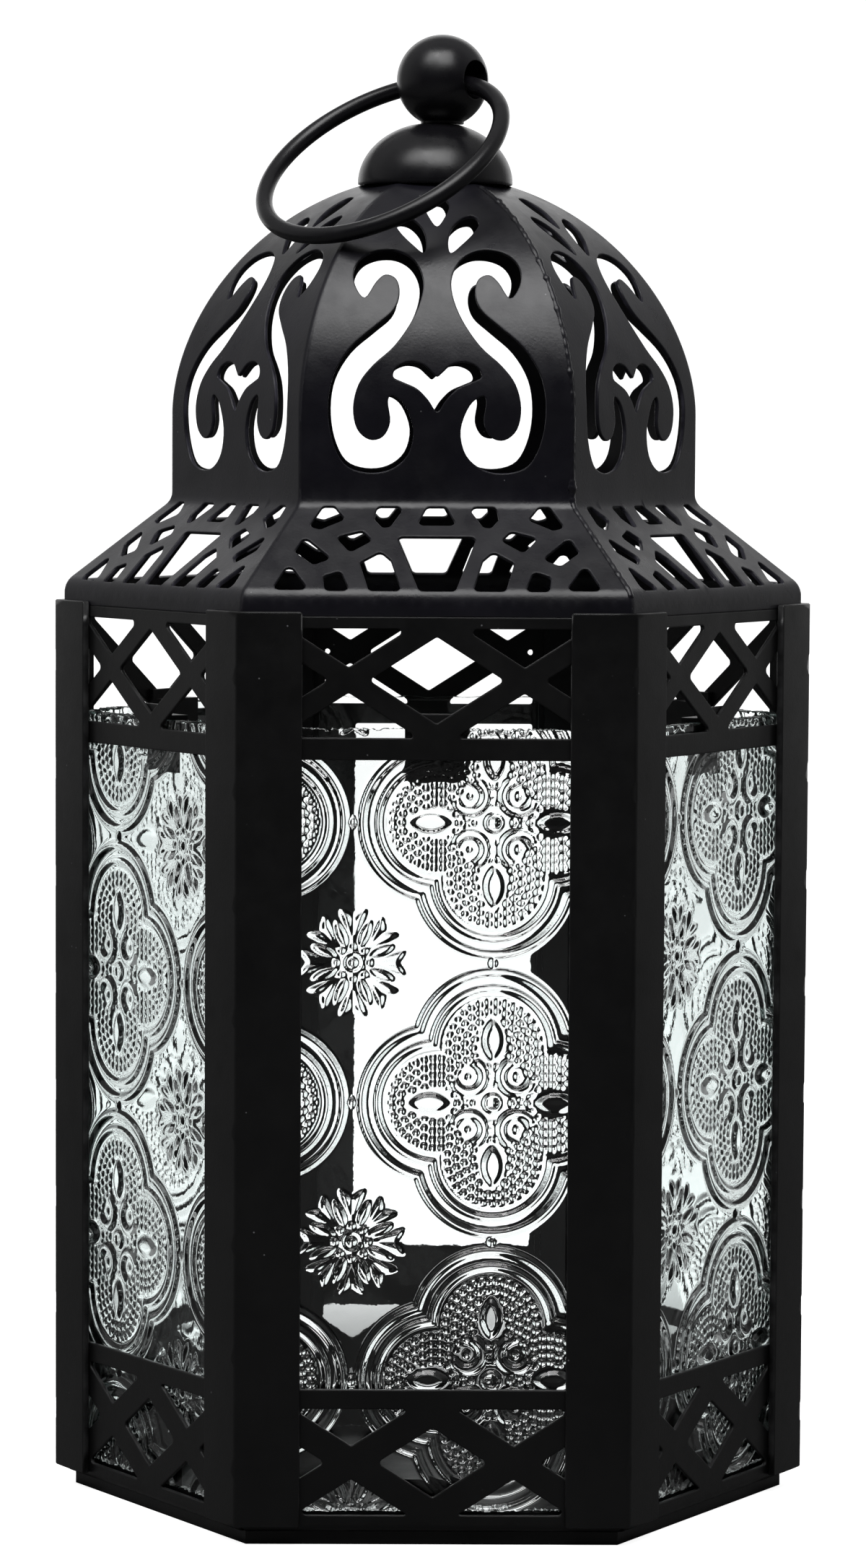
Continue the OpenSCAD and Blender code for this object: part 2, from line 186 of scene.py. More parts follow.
def sheet_object(name, outline, holes, place, thickness, material, bevel=0.16, grid=3.0, extra=(), keep=None):
    """Sheet with cut openings and rounded cut edges.

    place(points, depth) gives positions and outward normals; keep(points) marks edge points left unbevelled.
    """
    loops = [outline if area(outline) > 0 else outline[::-1]]
    loops += [h if area(h) < 0 else h[::-1] for h in holes]
    inset, outs = [], []
    for loop in loops:
        corner = side_normals(loop)
        amount = np.full(len(loop), bevel)
        if keep is not None:
            amount[keep(loop)] = 0
        inset.append(loop - corner * amount[:, None])
        outs.append(corner)
    low, high = outline.min(0), outline.max(0)
    gx, gy = np.meshgrid(*(np.arange(low[i] + grid / 2, high[i], grid) for i in (0, 1)))
    fill = np.stack([gx.ravel(), gy.ravel()], 1)
    if len(extra):
        fill = np.concatenate([fill, extra])
    rims = np.concatenate(inset)
    near = np.array([np.min(np.sum((rims - p) ** 2, 1)) < 0.3**2 for p in fill], bool)
    ok = inside(fill, inset[0]) & ~near
    for loop in inset[1:]:
        ok &= ~inside(fill, loop)
    fill = fill[ok]
    edges, start = [], 0
    for loop in inset:
        n = len(loop)
        edges += [(start + i, start + (i + 1) % n) for i in range(n)]
        start += n
    points = np.concatenate([rims, fill])
    out = delaunay_2d_cdt([Vector(p) for p in points], edges, [], 0, 1e-5)
    flat = np.array([tuple(v) for v in out[0]])
    tris = [tuple(f) for f in out[2]]
    middle = np.array([flat[list(f)].mean(0) for f in tris])
    use = inside(middle, inset[0])
    for loop in inset[1:]:
        use &= ~inside(middle, loop)
    tris = [f for f, u in zip(tris, use) if u]
    where = {}
    for i, sources in enumerate(out[3]):
        for s in sources:
            where[s] = i

    n = len(flat)
    top, normal = place(flat, 0.0)
    bottom, _ = place(flat, thickness)
    verts, norms, rim = [top, bottom], [normal, -normal], [np.zeros(n), np.zeros(n)]
    faces = [f for f in tris] + [tuple(n + i for i in reversed(f)) for f in tris]
    base, start = 2 * n, 0
    for loop, corner in zip(loops, outs):
        k = len(loop)
        b = min(bevel, thickness / 3)
        upper, _ = place(loop, b)
        lower, _ = place(loop, thickness - b)
        ahead, _ = place(loop + corner * 0.01, b)
        side = ahead - upper
        side /= np.maximum(np.linalg.norm(side, axis=1), 1e-9)[:, None]
        verts += [upper, lower]
        norms += [side, side]
        rim += [np.ones(k), np.ones(k)]
        for i in range(k):
            j = (i + 1) % k
            ti, tj = where[start + i], where[start + j]
            ui, uj, li, lj = base + i, base + j, base + k + i, base + k + j
            faces += [(ti, ui, uj, tj), (ui, li, lj, uj), (li, n + ti, n + tj, lj)]
        base += 2 * k
        start += k
    a, b, c = (top[np.array(tris)[:, i]] for i in range(3))
    if np.sum(np.cross(b - a, c - a) * normal[np.array(tris)[:, 0]]) < 0:
        faces = [f[::-1] for f in faces]
    return make_object(name, np.concatenate(verts), faces, material, np.concatenate(norms), np.concatenate(rim))


def turned(place, degrees):
    """The same placing function, turned about Z."""
    c, s = math.cos(math.radians(degrees)), math.sin(math.radians(degrees))
    m = np.array([[c, -s, 0], [s, c, 0], [0, 0, 1]])

    def go(points, depth):
        p, n = place(points, depth)
        return p @ m.T, n @ m.T
    return go


def along(profile, corner_round=0.0):
    """Placing function for a sheet on the +Y face, bent to a line of [distance from axis, height]."""
    line = np.asarray(profile, float)
    step = np.diff(line, axis=0)
    length = np.concatenate([[0], np.cumsum(np.linalg.norm(step, axis=1))])
    tangent = step / np.linalg.norm(step, axis=1)[:, None]
    tangent = np.vstack([tangent[:1], (tangent[1:] + tangent[:-1]) / 2, tangent[-1:]])

    def go(points, depth):
        x, s = points[:, 0].copy(), points[:, 1]
        a, z = np.interp(s, length, line[:, 0]), np.interp(s, length, line[:, 1])
        ta, tz = np.interp(s, length, tangent[:, 0]), np.interp(s, length, tangent[:, 1])
        size = np.hypot(ta, tz)
        na, nz = tz / size, -ta / size
        phi = np.zeros(len(x))
        if corner_round:
            room = corner_round * TAN30
            edge = a * TAN30
            over = np.clip((np.abs(x) - (edge - room)) / room, 0, 1)
            phi = over * math.radians(30)
            past = over > 0
            x = np.where(past, np.sign(x) * (edge - room + corner_round * np.sin(phi)), x)
            a = a - corner_round * (1 - np.cos(phi))
        nx = na * np.sin(phi) * np.sign(points[:, 0])
        ny = na * np.cos(phi)
        normal = np.stack([nx, ny, nz], 1)
        normal /= np.linalg.norm(normal, axis=1)[:, None]
        return np.stack([x, a, z], 1) - normal * depth, normal
    go.length, go.line = length, line
    return go


# ---------- materials ----------

def new_material(name):
    mat = bpy.data.materials.new(name)
    mat.use_nodes = True
    nodes, links = mat.node_tree.nodes, mat.node_tree.links
    nodes.clear()
    out = nodes.new("ShaderNodeOutputMaterial")
    shader = nodes.new("ShaderNodeBsdfPrincipled")
    links.new(shader.outputs["BSDF"], out.inputs["Surface"])
    return mat, nodes, links, shader


def noise(nodes, links, coords, scale, detail=2.0, roughness=0.5):
    n = nodes.new("ShaderNodeTexNoise")
    n.inputs["Scale"].default_value = scale
    n.inputs["Detail"].default_value = detail
    n.inputs["Roughness"].default_value = roughness
    links.new(coords, n.inputs["Vector"])
    return n.outputs["Fac"]


def ramp(nodes, links, value, low, high, to_low=0.0, to_high=1.0):
    n = nodes.new("ShaderNodeMapRange")
    n.inputs["From Min"].default_value = low
    n.inputs["From Max"].default_value = high
    n.inputs["To Min"].default_value = to_low
    n.inputs["To Max"].default_value = to_high
    links.new(value, n.inputs["Value"])
    return n.outputs["Result"]


def combine(nodes, links, operation, a, b):
    """Output of a math node that joins two values."""
    n = nodes.new("ShaderNodeMath")
    n.operation = operation
    links.new(a, n.inputs[0])
    links.new(b, n.inputs[1])
    return n.outputs["Value"]


def mix_colour(nodes, links, factor, a, b):
    n = nodes.new("ShaderNodeMix")
    n.data_type = "RGBA"
    links.new(factor, n.inputs["Factor"])
    for socket, value in (("A", a), ("B", b)):
        target = [i for i in n.inputs if i.name == socket and i.type == "RGBA"][0]
        if isinstance(value, tuple):
            target.default_value = (*value, 1)
        else:
            links.new(value, target)
    return [o for o in n.outputs if o.type == "RGBA"][0]


def powder_coat(name, dark, light, roughness, peel=1.0):
    """Satin black powder coat: orange peel, uneven gloss, dust specks, and cut edges lightened in patches,
    partly thin paint and partly a painted highlight.
    """
    mat, nodes, links, shader = new_material(name)
    coords = nodes.new("ShaderNodeTexCoord").outputs["Object"]
    cloud = noise(nodes, links, coords, 45, 4, 0.6)
    colour = mix_colour(nodes, links, ramp(nodes, links, cloud, 0.35, 0.7), dark, light)
    rim = nodes.new("ShaderNodeAttribute")
    rim.attribute_name = "rim"
    patches = ramp(nodes, links, noise(nodes, links, coords, 220, 3), 0.42, 0.7, 0.1, 0.8)
    # Cut edges lightened in patches: partly thin paint, partly a painted highlight along every cut edge.
    rim_wear_and_highlight = combine(nodes, links, "MULTIPLY", rim.outputs["Fac"], patches)
    colour = mix_colour(nodes, links, rim_wear_and_highlight, colour, tuple(4 * c + 0.02 for c in light))
    dust = nodes.new("ShaderNodeTexVoronoi")
    dust.inputs["Scale"].default_value = 420
    links.new(coords, dust.inputs["Vector"])
    specks = ramp(nodes, links, dust.outputs["Distance"], 0.075, 0.045)
    dusty = ramp(nodes, links, noise(nodes, links, coords, 90, 2), 0.6, 0.66)
    dust_mask = combine(nodes, links, "MULTIPLY", specks, dusty)
    colour = mix_colour(nodes, links, dust_mask, colour, (0.16, 0.16, 0.17))
    links.new(colour, shader.inputs["Base Color"])
    gloss = noise(nodes, links, coords, 130, 5, 0.65)
    uneven = ramp(nodes, links, gloss, 0.3, 0.72, roughness - 0.07, roughness + 0.09)
    links.new(uneven, shader.inputs["Roughness"])
    shader.inputs["Specular IOR Level"].default_value = 0.4
    fine = nodes.new("ShaderNodeBump")
    fine.inputs["Strength"].default_value = 0.22 * peel
    fine.inputs["Distance"].default_value = 0.00006
    links.new(noise(nodes, links, coords, 1900, 2), fine.inputs["Height"])
    broad = nodes.new("ShaderNodeBump")
    broad.inputs["Strength"].default_value = 0.3 * peel
    broad.inputs["Distance"].default_value = 0.0006
    links.new(noise(nodes, links, coords, 55, 2), broad.inputs["Height"])
    edge = nodes.new("ShaderNodeBevel")
    edge.samples = 3
    edge.inputs["Radius"].default_value = 0.00035
    links.new(edge.outputs["Normal"], fine.inputs["Normal"])
    links.new(fine.outputs["Normal"], broad.inputs["Normal"])
    links.new(broad.outputs["Normal"], shader.inputs["Normal"])
    return mat


def clear_glass(name, tint, roughness, wave):
    """Clear glass with slight waviness and fine smears."""
    mat, nodes, links, shader = new_material(name)
    coords = nodes.new("ShaderNodeTexCoord").outputs["Object"]
    shader.inputs["Transmission Weight"].default_value = 1
    shader.inputs["IOR"].default_value = 1.52
    cloud = noise(nodes, links, coords, 60, 3)
    links.new(mix_colour(nodes, links, ramp(nodes, links, cloud, 0.3, 0.7), tint, tuple(c**0.7 for c in tint)),
              shader.inputs["Base Color"])
    smear = noise(nodes, links, coords, 180, 4, 0.6)
    links.new(ramp(nodes, links, smear, 0.45, 0.8, roughness, roughness + 0.05), shader.inputs["Roughness"])
    bump = nodes.new("ShaderNodeBump")
    bump.inputs["Strength"].default_value = 0.25
    bump.inputs["Distance"].default_value = wave
    links.new(noise(nodes, links, coords, 350, 3), bump.inputs["Height"])
    links.new(bump.outputs["Normal"], shader.inputs["Normal"])
    return mat


def zinc(name):
    """Dull zinc-plated steel with a passivated tone and fine scratches."""
    mat, nodes, links, shader = new_material(name)
    coords = nodes.new("ShaderNodeTexCoord").outputs["Object"]
    blotch = noise(nodes, links, coords, 300, 4)
    colour = mix_colour(nodes, links, blotch, (0.42, 0.42, 0.44), (0.66, 0.65, 0.6))
    links.new(colour, shader.inputs["Base Color"])
    shader.inputs["Metallic"].default_value = 1
    scratch = noise(nodes, links, coords, 900, 3)
    links.new(ramp(nodes, links, scratch, 0.3, 0.7, 0.28, 0.5), shader.inputs["Roughness"])
    bump = nodes.new("ShaderNodeBump")
    bump.inputs["Strength"].default_value = 0.3
    bump.inputs["Distance"].default_value = 0.00004
    links.new(noise(nodes, links, coords, 2500, 3), bump.inputs["Height"])
    links.new(bump.outputs["Normal"], shader.inputs["Normal"])
    return mat


WALL_PAINT = powder_coat("wall_paint", (0.0035, 0.0035, 0.0038), (0.0065, 0.0065, 0.0068), 0.36)
ROOF_PAINT = powder_coat("roof_paint", (0.0055, 0.0052, 0.0078), (0.0095, 0.009, 0.0135), 0.31, 1.3)
FINIAL_PAINT = powder_coat("finial_paint", (0.0042, 0.004, 0.0052), (0.0075, 0.0072, 0.009), 0.29, 0.7)
GLASS = clear_glass("pressed_glass", (0.965, 0.985, 0.982), 0.0, 0.00003)
SIDE_GLASS = clear_glass("side_glass", (0.925, 0.975, 0.967), 0.0, 0.00003)
GLASS_EDGE = clear_glass("glass_edge", (0.5, 0.8, 0.73), 0.22, 0.0003)
ZINC = zinc("zinc_steel")


# ---------- lattice openings ----------

def clip(poly, point, normal):
    """The part of a convex polygon on the side of a line that normal points to."""
    out = []
    d = (poly - point) @ normal
    for i in range(len(poly)):
        j = (i + 1) % len(poly)
        if d[i] >= 0:
            out.append(poly[i])
        if d[i] * d[j] < 0:
            out.append(poly[i] + (poly[j] - poly[i]) * d[i] / (d[i] - d[j]))
    return np.array(out)


def lattice_cell(seed, low, high, crossings, rise, strap):
    """The opening that holds seed between crossed straps of the given width, inside a rectangle."""
    cell = np.array([[low[0], low[1]], [high[0], low[1]], [high[0], high[1]], [low[0], high[1]]], float)
    slope = math.atan(rise)
    for centre in crossings:
        for angle in (slope, -slope):
            across = np.array([-math.sin(angle), math.cos(angle)])
            side = np.sign((np.asarray(seed) - centre) @ across)
            if len(cell):
                cell = clip(cell, np.asarray(centre) + across * side * strap / 2, across * side)
    return cell


def wall_openings(half, window, low):
    """Openings of a wall or door leaf, in x and height.

    half is the lattices' half width, window two opposite corners, and low the lower lattice's foot.
    """
    holes = []
    top, cx, cz, rise, strap, stem = WALL_TOP - 2.1, 15.4, WALL_TOP - 11.1, 0.639, 3.8, 4.2
    rail = WINDOW_TOP + 3.9
    crossings = [(-cx, cz), (cx, cz)]
    holes.append(lattice_cell((0, cz), (-half, rail), (half, top), crossings, rise, strap))
    for side in (-1, 1):
        x = side * cx
        holes.append(lattice_cell((x, top - 1), (-half, rail), (half, top), crossings, rise, strap))
        edge = sorted((side * stem, side * half))
        holes.append(lattice_cell((x, rail + 1), (edge[0], rail), (edge[1], top), crossings, rise, strap))
        end = (side * (half - 0.3), cz)
        holes.append(lattice_cell(end, (-half, rail), (half, top), crossings, rise, strap))
    cx, cz, rise, strap, high = 14.4, 15.0, 0.64, 5.0, WINDOW_BOTTOM - 3.5
    crossings = [(-cx, cz), (cx, cz)]
    holes.append(lattice_cell((0, cz), (-half, low), (half, high), crossings, rise, strap))
    for side in (-1, 1):
        for seed in ((side * cx, high - 0.8), (side * cx, low + 0.4), (side * (half - 0.3), cz)):
            holes.append(lattice_cell(seed, (-half, low), (half, high), crossings, rise, strap))
    holes = [round_corners(h, 0.6) for h in holes if len(h) > 2]
    (x0, z0), (x1, z1) = window
    holes.append(round_corners([(x0, z0), (x1, z0), (x1, z1), (x0, z1)], 0.5))
    return [resample(h, 2.0) for h in holes]


# ---------- walls, posts, door ----------

def wall_panels():
    pan_out = GLASS_OUT - 1
    bend = fold((pan_out, WALL_LOW), (WALL_OUT, WALL_LOW), (WALL_OUT, WALL_TOP), 1.6, 8)
    place = along(np.vstack([[pan_out, WALL_LOW], bend, [WALL_OUT, WALL_TOP]]))
    to_s = place.length[-1] - WALL_TOP
    w0, w1 = pan_out * TAN30, WALL_OUT * TAN30
    top = place.length[-1]
    outline = resample(np.array([[-w0, 0], [w0, 0], [w1, 2.5], [w1, top], [-w1, top], [-w1, 2.5]]), 3.0)
    window = ((-WINDOW_HALF, WINDOW_BOTTOM), (WINDOW_HALF, WINDOW_TOP))
    holes = [h + [0, to_s] for h in wall_openings(WINDOW_HALF, window, WALL_LATTICE_LOW)]
    rows = np.array([[x, s] for s in place.length[1:-1] for x in np.arange(-33, 34, 3.0)])
    for i in range(5):
        ob = sheet_object(f"wall_sheet_{i + 1}", outline, holes, turned(place, FACES[i] - 90), SHEET,
                          WALL_PAINT, grid=8.0, extra=rows)
        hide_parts(f"wall_panel_{i + 1}")
        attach(ob, "lantern")


def door_sheet():
    half, low, high = LEAF_HIGH[0], LEAF_LOW[2], LEAF_HIGH[2]
    place = along([[LEAF_HIGH[1], low], [LEAF_HIGH[1], high]])
    box = np.array([[-half, 0], [half, 0], [half, high - low], [-half, high - low]])
    outline = resample(round_corners(box, 0.8), 3.0)
    window = (DOOR_WINDOW, (half - DOOR_STILE, WINDOW_TOP))
    holes = [h - [0, low] for h in wall_openings(half - DOOR_STILE, window, DOOR_LATTICE_LOW)]
    ob = sheet_object("door_sheet", outline, holes, place, LEAF_HIGH[1] - LEAF_LOW[1], WALL_PAINT, grid=8.0)
    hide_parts("door_leaf")
    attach(ob, "door")


def corner_posts():
    """V strips folded along their corner, standing proud of the walls."""
    low, high = POST_LOW[2], POST_HIGH[2]
    reach = POST_FLANGE
    a = np.array([POST_R - reach / 2, reach * COS30])
    section = np.vstack([[a * [1, -1]], fold(a * [1, -1], (POST_R, 0), a, 1.1, 6), [a]])
    step = np.diff(section, axis=0)
    length = np.concatenate([[0], np.cumsum(np.linalg.norm(step, axis=1))])
    tangent = step / np.linalg.norm(step, axis=1)[:, None]
    tangent = np.vstack([tangent[:1], (tangent[1:] + tangent[:-1]) / 2, tangent[-1:]])

    def place(points, depth):
        x, y = (np.interp(points[:, 0], length, section[:, i]) for i in (0, 1))
        tx, ty = (np.interp(points[:, 0], length, tangent[:, i]) for i in (0, 1))
        size = np.hypot(tx, ty)
        normal = np.stack([ty / size, -tx / size, np.zeros(len(x))], 1)
        return np.stack([x, y, low + points[:, 1]], 1) - normal * depth, normal

    tall, wide = high - low, length[-1]
    outline = resample(round_corners(np.array([[0, 0], [wide, 0], [wide, tall], [0, tall]]), 0.5, 3), 4.0)
    rows = np.array([[x, s] for x in length[1:-1] for s in np.arange(0.7, tall, 4.0)])
    for i in range(6):
        ob = sheet_object(f"post_strip_{i + 1}", outline, [], turned(place, 60 * (i + 1)), POST_T,
                          WALL_PAINT, bevel=0.22, grid=20.0, extra=rows)
        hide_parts(f"corner_post_{i + 1}")
        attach(ob, "lantern")


# ---------- roof ----------

SCROLL = [
    (12.9, 35.5), (14.6, 38), (14.8, 41.5), (13.2, 44.4), (10.4, 45.9), (7.2, 45.9), (4.4, 44), (2.7, 40.4),
    (2.7, 36.2), (4.4, 31.2), (7.6, 26.2), (11.4, 22.6), (13.9, 19.2), (14.9, 15), (14.2, 11.2), (12, 9.3),
    (9.6, 9.8), (8.3, 12.4), (8.7, 16), (8, 17.1), (5.8, 15.4), (4.2, 11), (5.2, 6.6), (8.4, 4), (12.6, 3.5),
    (16.4, 5), (18.6, 9.4), (19.3, 15), (18.4, 20.6), (15.4, 25.8), (11, 29.9), (7.8, 33), (6.7, 36.4),
    (7.3, 39.4), (9.2, 40.4), (10.9, 38.8),
]
HEART = [(0, 14.3), (1.6, 16.4), (3.6, 18.4), (6.2, 19.6), (7.8, 20.5), (7.2, 22.2), (5, 23.2), (2.6, 22.8),
         (0.9, 21.3), (0, 20.6)]
CROWN_PETAL = [(0, 52.2), (1.5, 55.2), (2.2, 58.6), (1.4, 61.4), (0, 62), (-1.4, 61.4), (-2.2, 58.6),
               (-1.5, 55.2)]
SIDE_PETAL = [(2.4, 45.4), (4.4, 47.4), (6.4, 50.2), (7.5, 53), (6.6, 55.2), (4.6, 54.6), (2.7, 51.8),
              (2, 48.4)]
SKIRT_HOLES = [
    [(9.9, 11.2), (13.6, 8.3), (12, 1.1), (6.2, 1.1), (8.1, 9)],
    [(16.9, 6.2), (20, 4.8), (19.7, 1.1), (15.3, 1.1)],
    [(26, 8.1), (29, 1.3), (22.4, 1.3)],
    [(13.1, 16.5), (17.9, 14.8), (15.3, 10.8), (11.3, 14)],
    [(23.4, 15), (25.1, 11), (21.7, 7.6), (18.5, 9.3)],
    [(5.6, 22.6), (10.6, 22.6), (11, 19.4), (9.6, 17.2), (8.2, 17.5)],
    [(20.2, 22.6), (22.6, 17.5), (20.6, 16.7), (16.1, 19.4), (18, 22.6)],
]
SKIRT_MIDDLE_HOLES = [
    [(-7.1, 15), (7.1, 15), (3.2, 1.1), (-3.2, 1.1)],
    [(-1.8, 22.6), (1.8, 22.6), (3.6, 17.9), (-3.6, 17.9)],
]


def roof_profile():
    """Corner radius and height from the flange up to the crown."""
    start, eave, waist, foot = (EAVE_R, WALL_TOP), (EAVE_R, EAVE_Z), (DOME_R, WAIST_Z), (DOME_R, DOME_Z)
    turn = np.radians(np.arange(0, 75.1, 1.5))
    dome = np.stack([DOME_R * np.cos(turn), DOME_Z + DOME_H * np.sin(turn) ** (1 / 0.9)], 1)
    return np.vstack([[start], fold(start, eave, waist, 3.8, 10), fold(eave, waist, foot, 3, 6), dome])


def weld_bead(name, points, radius, material):
    """A lumpy bead swept along a line of points, in millimetres."""
    points = np.asarray(points, float)
    length = np.concatenate([[0], np.cumsum(np.linalg.norm(np.diff(points, axis=0), axis=1))])
    count = int(length[-1] / 0.35)
    s = np.linspace(0, length[-1], count)
    path = np.stack([np.interp(s, length, points[:, i]) for i in range(3)], 1)
    tangent = np.gradient(path, axis=0)
    tangent /= np.linalg.norm(tangent, axis=1)[:, None]
    side = np.cross(tangent, path * [1, 1, 0])
    side /= np.linalg.norm(side, axis=1)[:, None]
    out = np.cross(side, tangent)
    wobble = np.convolve(rng.normal(0, 1, count + 16), np.ones(17) / 17**0.5, "valid")
    lumps = 1 + 0.05 * np.sin(s * 2 * math.pi / 1.9 + wobble) + 0.08 * wobble
    for _ in range(int(length[-1] / 7)):
        height = rng.uniform(0.15, 0.5)
        at = rng.uniform(0, length[-1])
        lumps += height * np.exp(-(((s - at) / rng.uniform(0.35, 0.8)) ** 2))
    lumps = radius * np.clip(lumps, 0.6, 1.6)
    lumps[[0, -1]] *= 0.3
    verts, faces, ring = [], [], 10
    for k in range(ring):
        turn = 2 * math.pi * k / ring
        verts.append(path + (side * math.cos(turn) + out * math.sin(turn)) * lumps[:, None])
    verts = np.stack(verts, 1).reshape(-1, 3)
    for i in range(count - 1):
        for k in range(ring):
            a, b = i * ring + k, i * ring + (k + 1) % ring
            faces.append((a, b, b + ring, a + ring))
    faces += [tuple(range(ring))[::-1], tuple(range((count - 1) * ring, count * ring))]
    return make_object(name, verts, faces, material)


def roof():
    corner = roof_profile()
    place = along(corner * [COS30, 1], CORNER_ROUND)
    length, line = place.length, place.line
    wide = line[:, 0] * TAN30
    slope_low = (DOME_R - EAVE_R) * COS30
    slope_length = math.hypot(slope_low, WAIST_Z - EAVE_Z)
    waist_s = np.interp(WAIST_Z, line[:20, 1], length[:20])
    dome_s = np.interp(DOME_Z - 14, line[:20, 1], length[:20])
    right = np.stack([wide, length], 1)
    outline = np.vstack([right, right[::-1] * [-1, 1]])
    outline = resample(outline, 2.0)
    heart = HEART + [(-x, y) for x, y in HEART[8:0:-1]]
    holes = [smooth_loop(k, 4) for k in (SCROLL, heart, CROWN_PETAL, SIDE_PETAL)]
    holes += [mirrored(holes[0]), mirrored(holes[3])]
    holes = [h + [0, dome_s] for h in holes]
    for k in SKIRT_HOLES:
        holes += [round_corners(k, 0.9) + [0, waist_s - slope_length]]
        holes += [mirrored(holes[-1])]
    for k in SKIRT_MIDDLE_HOLES:
        holes.append(round_corners(k, 0.9) + [0, waist_s - slope_length])
    holes = [resample(h, 1.2) for h in holes]
    guide = []
    room = CORNER_ROUND * TAN30
    for s in np.arange(0.5, length[-1], 1.0):
        w = np.interp(s, length, wide)
        guide += [(side * (w - room * f), s) for side in (-1, 1) for f in (1, 0.66, 0.33)]
    for s in length[1:18]:
        w = np.interp(s, length, wide)
        guide += [(x, s) for x in np.arange(-w + 1.5, w - 1.4, 3.0)]

    def on_ridge(points):
        return np.abs(points[:, 0]) > np.interp(points[:, 1], length, wide) - 0.05

    for i in range(6):
        ob = sheet_object(f"roof_sheet_{i + 1}", outline, holes, turned(place, FACES[i] - 90), SHEET,
                          ROOF_PAINT, grid=2.2, extra=np.array(guide), keep=on_ridge)
        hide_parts(f"roof_panel_{i + 1}")
        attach(ob, "lantern")
    ridge = corner[(corner[:, 1] > EAVE_Z - 1) & (corner[:, 0] > 15)]
    for i, turn in enumerate((120, 300)):
        c, s = math.cos(math.radians(turn)), math.sin(math.radians(turn))
        points = np.array([[(r - 0.62) * c, (r - 0.62) * s, z] for r, z in ridge])
        bead = weld_bead(f"roof_weld_{i + 1}", points, 0.62, ROOF_PAINT)
        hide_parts("roof_weld_beads")
        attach(bead, "lantern")


# ---------- glass ----------

PITCH = 49.5
RELIEF, SIDE_RELIEF = 0.85, 0.5
FRONT_PANE = 2
FRONT_GRID, SIDE_GRID, PLAIN_GRID = 0.3, 0.38, 1.0
LOBE_OFFSET = 9.8
BEAD_ROWS, BEAD_STEP, BEAD_R = (8.0, 6.5, 5.0, 3.5), 1.55, 0.6
# Where the pattern starts in each pane, in x and height
PANE_SHIFTS = [(4, 70), (14.8, 97.9), (-10.3, 79), (-12, 78.7), (20, 88)]
DOOR_SHIFT = (3, 74)


def ridge(distance, half, edge):
    """Height from 0 to 1 of a flat-topped ridge, half wide to each side, with sloping edges."""
    t = np.clip((half - np.abs(distance)) / edge, 0, 1)
    return t * t * (3 - 2 * t)


def lobe_beads(u, v, centres, each, lobes):
    """Rows of small beads that follow the outline of the four lobes."""
    beads = np.zeros_like(lobes)
    for (cx, cz), reach in zip(centres, each):
        turn = np.arctan2(v - cz, u - cx)
        for k, row in enumerate(BEAD_ROWS):
            count = round(2 * math.pi * row / BEAD_STEP)
            off = ((turn * count / (2 * math.pi) + 0.5 * (k % 2)) % 1 - 0.5) * 2 * math.pi * row / count
            bead = np.clip(1.25 - 1.25 * ((reach - row) ** 2 + off**2) / BEAD_R**2, 0, 1) ** 0.5
            beads = np.maximum(beads, np.where(reach <= lobes + 1e-9, bead, 0))
    return beads


def quatrefoil(u, v):
    """Relief of the ringed four-lobed figure with its petals, scrolls and beads."""
    centres = ((LOBE_OFFSET, 0), (0, LOBE_OFFSET), (-LOBE_OFFSET, 0), (0, -LOBE_OFFSET))
    each = np.array([np.hypot(u - cx, v - cz) for cx, cz in centres])
    lobes = each.min(0)
    height = ridge(lobes - 13.4, 0.95, 0.8)
    height = np.maximum(height, 0.85 * ridge(lobes - 10.6, 0.75, 0.6))
    height = np.maximum(height, 0.5 * ridge(lobes - 8.9, 0.35, 0.35))
    motif = np.hypot(u, v) < 3.2
    for turn in range(4):
        c, s = (1, 0, -1, 0)[turn], (0, 1, 0, -1)[turn]
        outward, across = u * c + v * s, -u * s + v * c
        lens = np.hypot(outward - 11.2, np.abs(across) + 2.9)
        height = np.maximum(height, ridge(lens, 4.95, 1.1))
        motif |= lens < 5.5
        ring_u, ring_v = u - 4.3 * (c - s), v - 4.7 * (s + c)
        scroll = np.hypot(ring_u, ring_v)
        closed = np.clip(1.6 - (ring_u * (c - s) + ring_v * (s + c)) / 1.6, 0, 1)
        height = np.maximum(height, closed * ridge(scroll - 2.75, 0.95, 0.5))
        height = np.maximum(height, 0.6 * ridge(np.hypot(ring_u * 1.5, ring_v), 0.8, 0.6))
        motif |= (scroll < 3.9) & (closed > 0.25)
    middle = np.hypot(u, v)
    height = np.maximum(height, ridge(middle - 1.35, 0.4, 0.35))
    height = np.maximum(height, 0.8 * ridge(middle, 0.9, 0.5) * ridge(np.abs(u) - 0.8, 0.7, 0.4))
    beads = lobe_beads(u, v, centres, each, lobes)
    return np.where((lobes < 8.7) & ~motif, np.maximum(height, 0.75 * beads), height)


def star_flower(p, q):
    """Relief of the flower with eight notched petals and eight thin leaves."""
    far, turn = np.hypot(p, q), np.arctan2(q, p)
    height = np.maximum(ridge(far, 1.0, 0.7), 0.7 * ridge(far - 1.75, 0.4, 0.4))
    for shift in (0, math.pi / 8):
        leaf = (turn + shift + math.pi / 8) % (math.pi / 4) - math.pi / 8
        across, out = np.abs(far * np.sin(leaf)), far * np.cos(leaf)
        if shift:
            half = 0.95 * np.clip(1 - ((out - 5.4) / 2.6) ** 2, 0, 1)
            height = np.maximum(height, np.clip((half - across) / 0.45, 0, 1))
        else:
            side = 0.36 * (out - 2.6)
            notch = 8.2 + 0.55 * across
            wedge = np.clip((side - across) / 0.5, 0, 1) * np.clip((notch - out) / 0.7, 0, 1)
            height = np.maximum(height, wedge * (0.2 + 0.8 * np.clip(across / 1.2, 0, 1)))
            height = np.maximum(height, 0.9 * ridge(np.hypot(out - 2.9, across), 0.75, 0.5))
    return height


